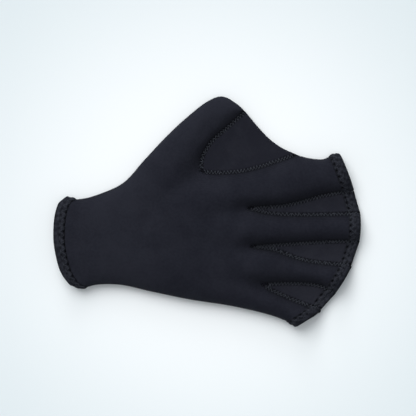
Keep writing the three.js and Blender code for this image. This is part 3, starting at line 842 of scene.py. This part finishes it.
def web_rows(first, second, start, finish, edge=None):
    """A web's middle surface: rows from near its tip to its outer end, columns from seam to seam."""
    shares = np.linspace(start, finish, max(4, round((finish - start) * second.length / SEAM_STEP)) + 1)
    width = np.linalg.norm(first.at(0) - second.at(second.length))
    fewest, most = WEB_COLUMNS
    across = np.linspace(-1, 1, min(most, max(fewest, round(width / WEB_STEP))) + 1)
    columns = 0.5 + 0.5 * np.sign(across) * np.abs(across) ** WEB_CROWDING
    rows = []
    for share in shares:
        one = first.at((1 - share) * first.length)[0]
        two = second.at(share * second.length)[0]
        row = one + columns[:, None] * (two - one)
        if edge is not None:
            straight = edge.at(0) + columns[:, None] * (edge.at(edge.length) - edge.at(0))
            row = row + (edge.at(columns * edge.length) - straight) * share**2
        rows.append(row)
    return shares, columns, np.stack(rows)


def web(name, node, seams, shares, wall, material, edge=None, hem_width=0):
    """A web's cloth between two seams, with dimples at its zigzags and rounded edges."""
    share, columns, plan = web_rows(*seams, *shares, edge)
    size = plan.shape[:2]
    flat = plan.reshape(-1, 2)
    width = np.linalg.norm(plan[:, -1] - plan[:, 0], axis=1)
    from_edge = np.linalg.norm(plan - plan[-1:], axis=2)
    distance, reach = (found.reshape(size) for found in web_seams.nearest(flat))
    sink, shade = sewn_edge(distance, reach, 0.5)
    sink = sink * smooth(width, *NARROW)[:, None]
    half = np.full(size, wall / 2)
    if hem_width:
        from_inner = hem_width - from_edge
        shoulder = np.sqrt(np.clip(from_inner / SHOULDER, LEAST_RISE, 1))
        half = half * rounded_edge(from_edge, wall / 2, LEAST_RISE)
        half = half - (wall - WEB_WALL) / 2 * (1 - shoulder)
        rough = lumps(np.dstack([plan, np.full(size, float(LUMPS_LEVEL))]))
        raised, hem_shade = stitched(from_inner, columns * stitches_across(width[-1]), rough)
        sink = sink - raised
        shade = shade + hem_shade + fold_shade(from_edge)
    elif edge is not None:
        half = half * rounded_edge(from_edge, FREE_EDGE, FREE_EDGE_RISE)
    middle = SEAM_HEIGHT - WEB_SAG * share[:, None] * 4 * columns * (1 - columns)
    half_left = half - np.minimum(sink, half * DEEPEST)
    top, under = (np.dstack([plan, middle + side * half_left]).reshape(-1, 3) for side in (1, -1))
    index = np.arange(len(flat)).reshape(size)
    a, b, c, d = (
        index[:-1, :-1].ravel(), index[1:, :-1].ravel(), index[1:, 1:].ravel(), index[:-1, 1:].ravel()
    )
    faces = [*np.stack([a, b, c, d], 1), *(np.stack([d, c, b, a], 1) + len(flat))]
    rim = [*index[0, :-1], *index[:-1, -1], *index[-1, :0:-1], *index[:0:-1, 0]]
    for corner, after in zip(rim, rim[1:] + rim[:1]):
        faces.append((corner, after, after + len(flat), corner + len(flat)))
    piece = make_object(name, np.vstack([top, under]), faces, material, np.tile(shade.ravel(), 2))
    fix_facing(piece)
    stand_for(piece, node)
    triangles = np.concatenate([np.stack([a, b, c], 1), np.stack([a, c, d], 1)])
    smooth_middle = np.dstack([plan, middle]).reshape(-1, 3)
    return piece, (flat, surface_area(smooth_middle, triangles), surface_area(flat, triangles))


# Finishes

class Value:
    """A value in a finish's nodes. Arithmetic on values adds Math nodes."""

    def __init__(self, finish, socket):
        self.finish, self.socket = finish, socket

    def math(self, operation, first, second=0.0):
        return self.finish.add("ShaderNodeMath", {"operation": operation}, {0: first, 1: second})

    def __add__(self, other):
        return self.math("ADD", self, other)

    def __sub__(self, other):
        return self.math("SUBTRACT", self, other)

    def __rsub__(self, other):
        return self.math("SUBTRACT", other, self)

    def __mul__(self, other):
        return self.math("MULTIPLY", self, other)

    def __truediv__(self, other):
        return self.math("DIVIDE", self, other)

    def __rtruediv__(self, other):
        return self.math("DIVIDE", other, self)

    __radd__, __rmul__ = __add__, __mul__

    def sine(self):
        return self.math("SINE", self)

    def size(self):
        return self.math("ABSOLUTE", self)

    def part(self):
        """What is left of the value past the whole number below it."""
        return self.math("FRACT", self)


class Finish:
    """A material built from procedural nodes, measured in millimetres on the glove."""

    def __init__(self, name, **constants):
        self.material = bpy.data.materials.new(name)
        self.material.use_nodes = True
        self.tree = self.material.node_tree
        self.shader = self.tree.nodes["Principled BSDF"]
        for socket, value in constants.items():
            self.shader.inputs[socket.replace("_", " ")].default_value = value
        place = self.add("ShaderNodeTexCoord", {}, {}, "Object")
        self.place = self.add("ShaderNodeVectorMath", {"operation": "SCALE"}, {0: place, "Scale": 1 / MM})

    def add(self, kind, settings, inputs, output=0):
        """A node of this kind with these settings and values or links, and one output of it."""
        node = self.tree.nodes.new(kind)
        for setting, value in settings.items():
            setattr(node, setting, value)
        for socket, value in inputs.items():
            if isinstance(value, Value):
                self.tree.links.new(value.socket, node.inputs[socket])
            else:
                node.inputs[socket].default_value = value
        return Value(self, node.outputs[output])

    def axis(self, name):
        return self.add("ShaderNodeSeparateXYZ", {}, {0: self.place}, name)

    def noise(self, size, detail=2.0):
        """Soft noise with features about this many millimetres wide, around 0.5."""
        inputs = {"Vector": self.place, "Scale": 1 / size, "Detail": detail}
        return self.add("ShaderNodeTexNoise", {}, inputs, "Fac")

    def ramp(self, value, low, high):
        """0 at low and 1 at high, with an easy slope between and no change beyond."""
        inputs = {"Value": value, "From Min": low, "From Max": high}
        return self.add("ShaderNodeMapRange", {"interpolation_type": "SMOOTHSTEP"}, inputs)

    def mix(self, share, first, second):
        """A colour between two colours, each a triple or a value."""
        first, second = (c if isinstance(c, Value) else (*c, 1) for c in (first, second))
        # A Mix node's colours are its inputs 6 and 7 and its output 2
        return self.add("ShaderNodeMix", {"data_type": "RGBA"}, {0: share, 6: first, 7: second}, 2)

    def painted_shade(self):
        """How deep in the stitches the cloth lies, from 0 to 1, which sets its painted shade."""
        return self.add("ShaderNodeAttribute", {"attribute_name": "painted_shade"}, {}, "Fac")

    def bump(self, height):
        """A normal bent by a height in millimetres."""
        return self.add("ShaderNodeBump", {}, {"Height": height, "Distance": MM})

    def wear(self, colour=None, roughness=None, normal=None):
        """Links what changes over the surface to the shader."""
        for socket, value in (("Base Color", colour), ("Roughness", roughness), ("Normal", normal)):
            if value is not None:
                self.tree.links.new(value.socket, self.shader.inputs[socket])
        return self.material


CLOTH_SHINE = {
    "Specular_IOR_Level": 0.04, "Sheen_Weight": 0.04, "Sheen_Roughness": 0.5,
    "Sheen_Tint": (0.75, 0.82, 1, 1),
}
PAINTED_SHADE_TONE = 0.3  # tone of the painted shade in the stitches, as a share of the cloth's dark tone
NOISE_SPREAD = (0.3, 0.7)  # the noise's values that count as 0 and 1
BROAD_SIZE = 14  # of the cloth's broad differences of tone
LOOP_HIGHLIGHT = 0.3  # painted highlight: how much lighter the top of a loop is, from the dark tone to the light one
LOOP_LEAN = 0.7  # how far the knit moves on with height, so that it goes on down a steep side
LOOP_SLANT = 0.9  # how far a loop's sides reach back from its tip, in rows of the knit
COLUMN_HEIGHT = 0.6  # height of the knit halfway up a loop
CLOTH_ROUGHNESS = 0.95
LOOP_GLOSS = 0.12  # how much less rough the top of a loop is
FINE_RELIEF = 0.06  # height of the cloth's fine unevenness, and what more it has by its mottle
MOTTLE_RELIEF = 0.1
FIBRE_SIZE = 0.35
FIBRE_DEPTH = 0.12
THREAD_ROUGHNESS = 0.9
FIBRE_GLOSS = 0.2  # how much less rough its fibres are
TABLE_LIGHT_FALLOFF = (30, 240)  # distances from the middle over which the table's painted pool of light falls off, darker away from the middle

# Where light is painted into the cloth's colour: the axis, the places on it where that starts and
# is in full, and by what share of the way from the dark tone to the light one
# Painted light: lighter towards the cuff and darker again at its very end, a painted highlight over the
# thumb, and less of the web cloth's painted light towards the thumb's web
WRIST_PAINTED_LIGHT = (("X", -20, -60, 0.45), ("X", -72, -96, -0.3))
THUMB_PAINTED_HIGHLIGHT = ("Y", 22, 68, 0.5)
WEB_PAINTED_LIGHT_LOSS = ("Y", 5, 32, -0.42)


def knit_face(finish, wale, course):
    """Height of a fine knit, from 0 to 1: columns of small V-shaped loops along the glove."""
    lean = finish.axis("Z") * LOOP_LEAN
    across = (finish.axis("Y") + lean) / wale
    along = (finish.axis("X") + lean) / course
    column = (across * math.pi).sine().size()
    slant = (across.part() - 0.5).size()
    loops = ((along + slant * LOOP_SLANT) * (2 * math.pi)).sine()
    return column * (COLUMN_HEIGHT + (1 - COLUMN_HEIGHT) * loops)


def cloth(name, dark, light, wale, course, depth, mottle, blotch=1.6, painted_light_ramps=WRIST_PAINTED_LIGHT):
    """Matt knit cloth with slight differences of tone, with painted light along the glove, a painted
    highlight on each loop's top and painted shade in its stitches.
    """
    finish = Finish(name, **CLOTH_SHINE)
    loops = knit_face(finish, wale, course)
    broad = finish.ramp(finish.noise(BROAD_SIZE), *NOISE_SPREAD)
    fine = finish.ramp(finish.noise(blotch, 3), *NOISE_SPREAD)
    tone = broad * (1 - LOOP_HIGHLIGHT - mottle) + fine * mottle + loops * LOOP_HIGHLIGHT
    for axis, low, high, amount in painted_light_ramps:
        tone = tone + finish.ramp(finish.axis(axis), low, high) * amount
    shade_colour = tuple(PAINTED_SHADE_TONE * channel for channel in dark)
    colour = finish.mix(finish.painted_shade(), finish.mix(tone, dark, light), shade_colour)
    roughness = CLOTH_ROUGHNESS - LOOP_GLOSS * loops
    height = loops * depth + fine * (FINE_RELIEF + MOTTLE_RELIEF * mottle)
    return finish.wear(colour, roughness, finish.bump(height))


def sewing_thread(name, dark, light):
    finish = Finish(name, **CLOTH_SHINE)
    fibre = finish.noise(FIBRE_SIZE)
    colour = finish.mix(finish.ramp(fibre, *NOISE_SPREAD), dark, light)
    return finish.wear(colour, THREAD_ROUGHNESS - FIBRE_GLOSS * fibre, finish.bump(fibre * FIBRE_DEPTH))


def table_finish():
    """A pale table with a painted pool of light, a little darker away from the middle."""
    finish = Finish("pale_table", Roughness=0.8)
    away = finish.add("ShaderNodeVectorMath", {"operation": "LENGTH"}, {0: finish.place}, "Value")
    far = finish.ramp(away, *TABLE_LIGHT_FALLOFF)
    return finish.wear(finish.mix(far, (0.87, 0.892, 0.905), (0.645, 0.71, 0.735)))


neoprene = cloth(
    "neoprene", (0.0088, 0.0094, 0.0145), (0.0162, 0.0172, 0.0243), wale=0.70, course=0.95,
    depth=0.12, mottle=0.36, painted_light_ramps=(*WRIST_PAINTED_LIGHT, THUMB_PAINTED_HIGHLIGHT),
)
# Painted light: the webs' cloth is a lighter copy of the panels' neoprene, against the shade of the
# fingers beside the webs
web_cloth = cloth(
    "web_cloth", (0.0118, 0.0124, 0.0180), (0.0200, 0.0209, 0.0280), wale=0.62, course=0.85,
    depth=0.08, mottle=0.22, painted_light_ramps=(*WRIST_PAINTED_LIGHT, WEB_PAINTED_LIGHT_LOSS),
)
HEM_KNIT = {"wale": 0.85, "course": 1.10, "depth": 0.14, "mottle": 0.65, "blotch": 2.4}
hem_cloth = cloth("hem_cloth", (0.0050, 0.0056, 0.0082), (0.0260, 0.0276, 0.0366), **HEM_KNIT)
# Painted light: the webs' folded ends take a lighter copy of the bands' cloth
painted_lit_web_hem_cloth = cloth("painted_lit_web_hem_cloth", (0.0080, 0.0088, 0.0125), (0.0340, 0.0360, 0.0465), **HEM_KNIT)
# Painted highlight: both threads are lighter in colour than the dark cloth they match, their fibres
# varying the tone
seam_thread = sewing_thread("seam_thread", (0.019, 0.0215, 0.028), (0.056, 0.061, 0.074))
band_thread = sewing_thread("band_thread", (0.012, 0.0135, 0.018), (0.040, 0.0435, 0.054))


# Threads

SIDE_REACH = 1.2  # how far the side's needle holes lie above and below its seam
THREAD = 0.23  # radius of a thread
THREAD_LIFT = 0.12  # how far a thread's middle stands above the cloth
THREAD_SUNK = 0.30  # how far it goes down into a needle hole
THREAD_SIDES = 6
THREAD_STEPS = 6
THREAD_BOW = 5  # how flat the thread's arch is: the greater, the steeper it goes down at its ends
ENDS_SHARE = 0.2  # how much the cloth's face at its two ends turns a thread's arch
INNER_STITCH = (0.15, 0.85)  # from and to, in stitches from the inner line's needle hole
OUTER_STITCH = (0.62, 1.38)  # the same in the outer line, whose holes lie half a stitch on
EDGE_FREE = 1  # length of a seam that is left unsewn at the glove's edge
TIP_FREE = 3  # the same at the tip of a finger's web
THUMB_TIP_FREE = 2
SIDE_START, SIDE_END = 0.5, 2  # what more a side's seam leaves unsewn at its start and end
BORDER_PROUD = 0.1  # how far over the web the threads lie at its folded end's border


class Surface:
    """The finished cloth, to lay stitches on."""

    def __init__(self, objects):
        points, faces, count = [], [], 0
        for piece in objects:
            points.extend(vertex.co / MM for vertex in piece.data.vertices)
            faces.extend([count + corner for corner in face.vertices] for face in piece.data.polygons)
            count = len(points)
        self.tree = BVHTree.FromPolygons(points, faces)

    def on(self, point):
        """The nearest point of the cloth's face, and the way out of it."""
        place, normal, _, _ = self.tree.find_nearest(Vector(point))
        return np.array(place), np.array(normal)


def thread(start, finish, out, sag):
    """A thread's points and faces, from one needle hole to the next, arching over the cloth."""
    share = np.linspace(0, 1, THREAD_STEPS + 1)
    ends = np.abs(2 * share - 1) ** THREAD_BOW
    lift = THREAD_LIFT * (1 - ends) - THREAD_SUNK * ends
    line = start + share[:, None] * (finish - start) + lift[:, None] * out
    line += (4 * share * (1 - share))[:, None] * sag
    along = unit(np.gradient(line, axis=0))
    side = unit(np.cross(along, out))
    up = np.cross(side, along)
    angles = np.arange(THREAD_SIDES) * 2 * math.pi / THREAD_SIDES
    ring = side[:, None] * np.cos(angles)[None, :, None] + up[:, None] * np.sin(angles)[None, :, None]
    points = (line[:, None] + THREAD * ring).reshape(-1, 3)
    index = np.arange(len(points)).reshape(THREAD_STEPS + 1, THREAD_SIDES)
    a, b = index[:-1], index[1:]
    faces = np.stack([a, np.roll(a, -1, 1), np.roll(b, -1, 1), b], axis=-1).reshape(-1, 4).tolist()
    faces += [index[0, ::-1].tolist(), index[-1].tolist()]
    return points, faces


class Stitching:
    """Threads that lie between needle holes on the cloth, gathered into one piece."""

    def __init__(self, surface):
        self.surface, self.points, self.faces, self.count = surface, [], [], 0

    def add(self, start, finish):
        """One thread between two places near the cloth's face."""
        (a, out_a), (b, out_b) = self.surface.on(start), self.surface.on(finish)
        middle, out = self.surface.on((a + b) / 2)
        sag = middle - (a + b) / 2
        out = unit(out + ENDS_SHARE * (out_a + out_b))
        points, faces = thread(a, b, out, out * max(0.0, float(sag @ out)))
        self.points.append(points)
        self.faces.extend([self.count + corner for corner in face] for face in faces)
        self.count += len(points)

    def zigzag(self, seam, start, finish, level, beside=0, above=0):
        """A zigzag along a seam, its needle holes this far to each side, or above and below it."""
        turns = np.arange(math.ceil(start / ZIGZAG_PITCH), math.floor(finish / ZIGZAG_PITCH) + 1)
        holes = []
        for shift, way in ((0, 1), (0.5, -1)):
            reach = (turns + shift) * ZIGZAG_PITCH
            plan = seam.at(reach) + way * beside * left_of(seam.direction(reach))
            holes.append(np.column_stack([plan, np.full(len(turns), level + way * above)]))
        first, second = holes
        for number in range(len(turns)):
            self.add(first[number], second[number])
            if number + 1 < len(turns):
                self.add(second[number], first[number + 1])

    def cover(self, place, count, lines):
        """Needle stitches along a band's two lines and the threads that cross between them."""
        inner, outer = lines
        for turn in range(count):
            self.add(*(place(turn + share, inner) for share in INNER_STITCH))
            self.add(*(place(turn + share, outer) for share in OUTER_STITCH))
            self.add(place(turn + 0.5, inner), place(turn + 1, outer))
            self.add(place(turn + 1, outer), place(turn + 1.5, inner))

    def build(self, name, material):
        points = np.vstack(self.points)
        points[:, 2] = np.maximum(points[:, 2], 0)
        piece = make_object(name, points, self.faces, material)
        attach(piece, "root")


def web_band_place(first, second, side):
    """Places on a web's folded end, counted in stitches across it from its first seam."""
    cut = 1 - FINGER_HEM / second.length
    ends = first.at(0)[0], second.at(second.length)[0]
    borders = first.at((1 - cut) * first.length)[0], second.at(cut * second.length)[0]
    count = stitches_across(np.linalg.norm(ends[1] - ends[0]))
    edge = [np.append(end, SEAM_HEIGHT + side * WEB_HEM_WALL / 2) for end in ends]
    border = [np.append(end, SEAM_HEIGHT + side * (WEB_WALL / 2 + BORDER_PROUD)) for end in borders]

    def place(turn, from_inner):
        share = turn / count
        low = border[0] * (1 - share) + border[1] * share
        high = edge[0] * (1 - share) + edge[1] * share
        return low + (high - low) * from_inner / FINGER_HEM

    return place, count


# The glove

def sew_webs():
    """Each web with its folded end, and the thumb's web with its free edge."""
    made = []
    for label, seams in FINGER_WEBS.items():
        cut = 1 - FINGER_HEM / seams[1].length
        folded, _ = web(
            f"web_band_{label}", f"web_hem_{label}", seams, (cut, 1), WEB_HEM_WALL, painted_lit_web_hem_cloth,
            hem_width=FINGER_HEM,
        )
        piece, sizes = web(
            f"web_cloth_{label}", f"web_{label}", seams, (WEB_START, cut), WEB_WALL, web_cloth,
        )
        declare_cloth(piece, *sizes, "stretched", ["palm_cloth"], [folded])
        made += [folded, piece]
    piece, sizes = web(
        "thumb_web_cloth", "thumb_web", ALL_WEBS["thumb"], (WEB_START, 1), WEB_WALL, web_cloth,
        edge=web_edge,
    )
    declare_cloth(piece, *sizes, "stretched", ["palm_cloth"])
    return [*made, piece]


def stitch_seams(surface):
    """The zigzags over the webs' seams, on the back and under it, and along the glove's sides."""
    for label, (first, second) in ALL_WEBS.items():
        stitching = Stitching(surface)
        tip_free = THUMB_TIP_FREE if label == "thumb" else TIP_FREE
        for side in (1, -1):
            level = SEAM_HEIGHT + side * WEB_WALL / 2
            stitching.zigzag(first, EDGE_FREE, first.length - tip_free, level, beside=ZIGZAG_REACH)
            stitching.zigzag(second, tip_free, second.length - EDGE_FREE, level, beside=ZIGZAG_REACH)
        stitching.build(f"stitching_web_{label}", seam_thread)
    for label, seam, before, after in (
        ("little", little_side, CUFF_HEM, FINGER_HEM),
        ("index", index_side, FINGER_HEM, EDGE_FREE),
        ("thumb", thumb_side, EDGE_FREE, CUFF_HEM),
    ):
        stitching = Stitching(surface)
        start, finish = before + SIDE_START, seam.length - after - SIDE_END
        stitching.zigzag(seam, start, finish, SEAM_HEIGHT, above=SIDE_REACH)
        stitching.build(f"stitching_side_{label}", seam_thread)


def stitch_bands(surface, bands):
    """The cover stitches of the bands and of the webs' folded ends."""
    for label, band in bands.items():
        stitching = Stitching(surface)
        stitching.cover(band.place, band.count, band.lines)
        stitching.build(f"stitching_{label}_band", band_thread)
    for label, seams in FINGER_WEBS.items():
        stitching = Stitching(surface)
        for side in (1, -1):
            stitching.cover(*web_band_place(*seams, side), NEEDLE_LINES)
        stitching.build(f"stitching_web_band_{label}", band_thread)


plan = panel_plan()
palm = panel("palm_cloth", "palm_panel", -1, plan, ["table_top"])
back = panel("back_cloth", "back_panel", 1, plan, ["palm_cloth"])
bands = {
    "cuff": Band(cuff_end, CUFF_LINES), "index": Band(index_end), "middle": Band(middle_end),
    "ring": Band(ring_end), "little": Band(little_end),
}
band_pieces = [band.build(f"{label}_band", f"{label}_hem") for label, band in bands.items()]
surface = Surface([back, palm, *band_pieces, *sew_webs()])
stitch_seams(surface)
stitch_bands(surface, bands)


# Table, light and camera

TABLE_REACH = 3000
TABLE_GAP = 0.2  # how far the table lies below the palm
PHOTO_WIDTH = 291  # millimetres that the photograph's frame spans
PHOTO_MIDDLE = (0.4, 2.5)  # the place on the glove in the middle of the frame
CAMERA_DISTANCE = 1.1  # metres
SENSOR = 36

table_corners = [(x * TABLE_REACH, y * TABLE_REACH, 0) for x, y in ((-1, -1), (1, -1), (1, 1), (-1, 1))]
table = make_object("table_top", table_corners, [(0, 1, 2, 3)], table_finish())
table.location.z = -TABLE_GAP * MM


def light(kind, name, power, way, place=(0, 0, 0), **settings):
    """A light of this kind that shines this way."""
    lamp = bpy.data.lights.new(name, kind)
    lamp.energy = power
    for setting, value in settings.items():
        setattr(lamp, setting, value)
    holder = bpy.data.objects.new(name, lamp)
    holder.location = place
    holder.rotation_euler = Vector(way).to_track_quat("-Z", "Y").to_euler()
    bpy.context.scene.collection.objects.link(holder)


light("SUN", "key_light", 2.25, (0.34, -0.66, -0.9), angle=math.radians(42))
light("SUN", "low_light", 0.75, (0.12, -1, -0.42), angle=math.radians(22))
light("AREA", "top_light", 6, (0, 0.05, -1.7), (0, -0.05, 1.7), size=1.3, color=(0.97, 0.99, 1))

world = bpy.data.worlds.new("studio")
world.use_nodes = True
background = world.node_tree.nodes["Background"]
background.inputs["Color"].default_value = (0.93, 0.97, 1, 1)
background.inputs["Strength"].default_value = 0.36
bpy.context.scene.world = world

camera_data = bpy.data.cameras.new("camera")
camera_data.sensor_width = SENSOR
camera_data.lens = SENSOR * CAMERA_DISTANCE / (PHOTO_WIDTH * MM)
camera_data.clip_end = 20
camera = bpy.data.objects.new("camera", camera_data)
camera.location = (*(MM * offset for offset in PHOTO_MIDDLE), CAMERA_DISTANCE + SEAM_HEIGHT * MM)
bpy.context.scene.collection.objects.link(camera)
bpy.context.scene.camera = camera
bpy.context.scene.view_settings.view_transform = "Standard"
